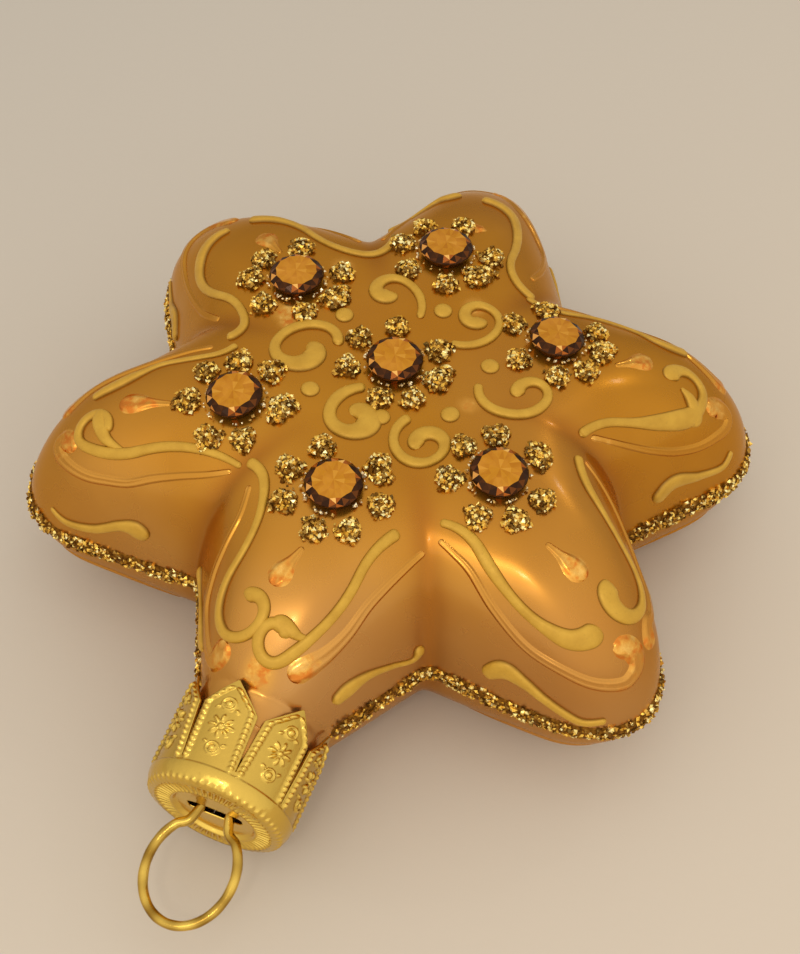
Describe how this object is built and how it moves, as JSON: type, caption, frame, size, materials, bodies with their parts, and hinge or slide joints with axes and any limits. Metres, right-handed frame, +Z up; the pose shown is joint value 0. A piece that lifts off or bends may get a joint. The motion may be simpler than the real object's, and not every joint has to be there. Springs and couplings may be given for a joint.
{
  "type": "blown glass star-cookie christmas ornament",
  "caption": "Puffy blown-glass star made like an iced star cookie, with crystals, glitter dabs, a glitter seam, a leafed gold metal cap and a hanging ring; lies on its back",
  "frame": {"origin": "the middle of the small flat spot on the back that the ornament rests on", "axes": "+Z up, out of the decorated front; -Y along the arm that carries the cap and the hanging ring; +X to the right of that"},
  "size_m": [0.0789, 0.105, 0.0326],
  "materials": {
    "lacquered_glass": "glass with a satin copper-gold lacquer, opaque, hollow and thin-walled",
    "gold_metal": "bright gold-coloured stamped sheet and wire",
    "glitter": "coarse gold glitter flakes in clear glue",
    "crystal": "faceted amber crystal with a foil back",
    "enamel": "raised ochre enamel scrolls, satin"
  },
  "bodies": {
    "root": {"star_glass": "lacquered_glass", "seam_glitter": "glitter", "cap": "gold_metal", "ring": "gold_metal", "crystal_centre": "crystal", "dab_centre_1": "glitter", "dab_centre_2": "glitter", "dab_centre_3": "glitter", "dab_centre_4": "glitter", "dab_centre_5": "glitter", "dab_centre_6": "glitter", "dab_centre_7": "glitter", "crystal_cap_arm": "crystal", "dab_cap_arm_1": "glitter", "dab_cap_arm_2": "glitter", "dab_cap_arm_3": "glitter", "dab_cap_arm_4": "glitter", "dab_cap_arm_5": "glitter", "dab_cap_arm_6": "glitter", "dab_cap_arm_7": "glitter", "crystal_right_low": "crystal", "dab_right_low_1": "glitter", "dab_right_low_2": "glitter", "dab_right_low_3": "glitter", "dab_right_low_4": "glitter", "dab_right_low_5": "glitter", "dab_right_low_6": "glitter", "dab_right_low_7": "glitter", "crystal_right": "crystal", "dab_right_1": "glitter", "dab_right_2": "glitter", "dab_right_3": "glitter", "dab_right_4": "glitter", "dab_right_5": "glitter", "dab_right_6": "glitter", "dab_right_7": "glitter", "crystal_top": "crystal", "dab_top_1": "glitter", "dab_top_2": "glitter", "dab_top_3": "glitter", "dab_top_4": "glitter", "dab_top_5": "glitter", "dab_top_6": "glitter", "dab_top_7": "glitter", "crystal_left_high": "crystal", "dab_left_high_1": "glitter", "dab_left_high_2": "glitter", "dab_left_high_3": "glitter", "dab_left_high_4": "glitter", "dab_left_high_5": "glitter", "dab_left_high_6": "glitter", "dab_left_high_7": "glitter", "crystal_left": "crystal", "dab_left_1": "glitter", "dab_left_2": "glitter", "dab_left_3": "glitter", "dab_left_4": "glitter", "dab_left_5": "glitter", "dab_left_6": "glitter", "dab_left_7": "glitter"}
  },
  "joints": []
}
